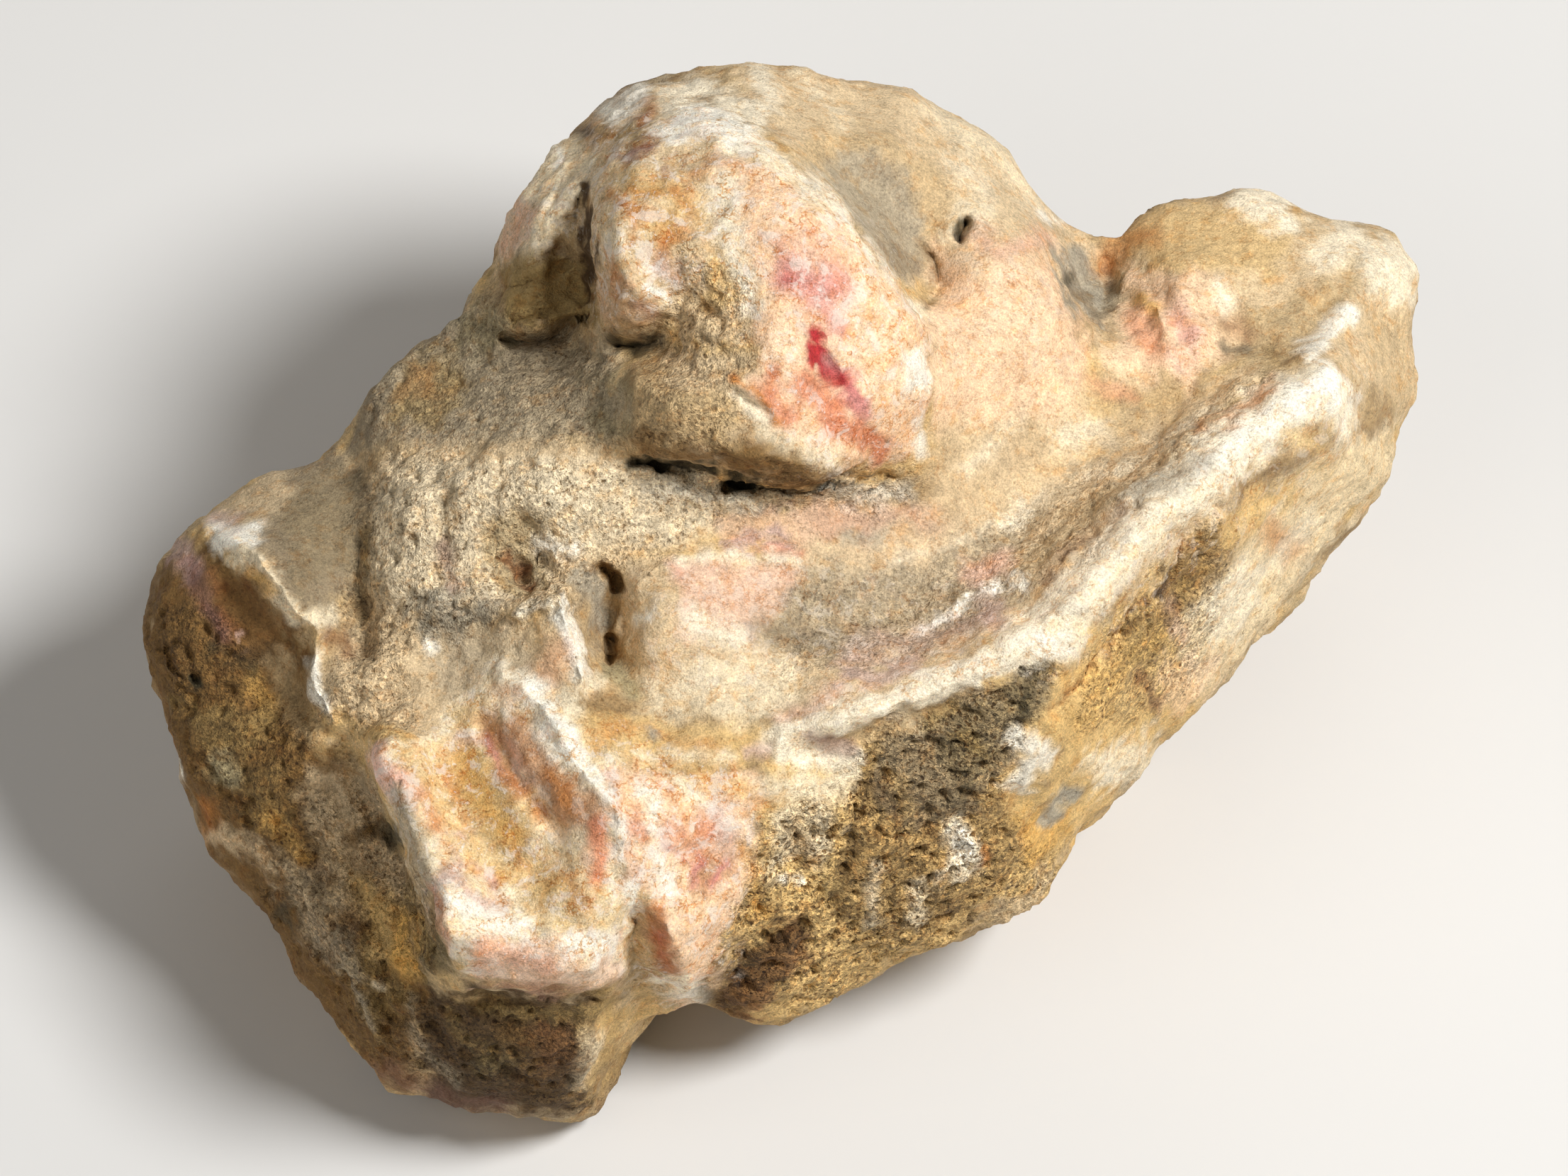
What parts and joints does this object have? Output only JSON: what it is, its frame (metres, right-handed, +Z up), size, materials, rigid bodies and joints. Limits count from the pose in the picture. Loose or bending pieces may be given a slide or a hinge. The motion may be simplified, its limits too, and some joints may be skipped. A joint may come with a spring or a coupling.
{
  "type": "rhodochrosite mineral specimen",
  "caption": "Rough hand specimen of rhodochrosite in weathered rock: a high crown over a smooth trough with a pale raised rim, a broken pink block low at the front, and a flat underside to rest on.",
  "frame": {"origin": "middle of the bounding box's underside, on the plane that the specimen rests on", "axes": "+X to the right across the show face, +Y to the back, +Z up; the show face is turned to the front and up"},
  "size_m": [0.0752, 0.0594, 0.0449],
  "materials": {
    "stone": "rough broken rock, beige and ochre with cream, grey and rose-pink areas, matt with small glassy glints"
  },
  "bodies": {
    "root": {"rhodochrosite_specimen": "stone"}
  },
  "joints": []
}
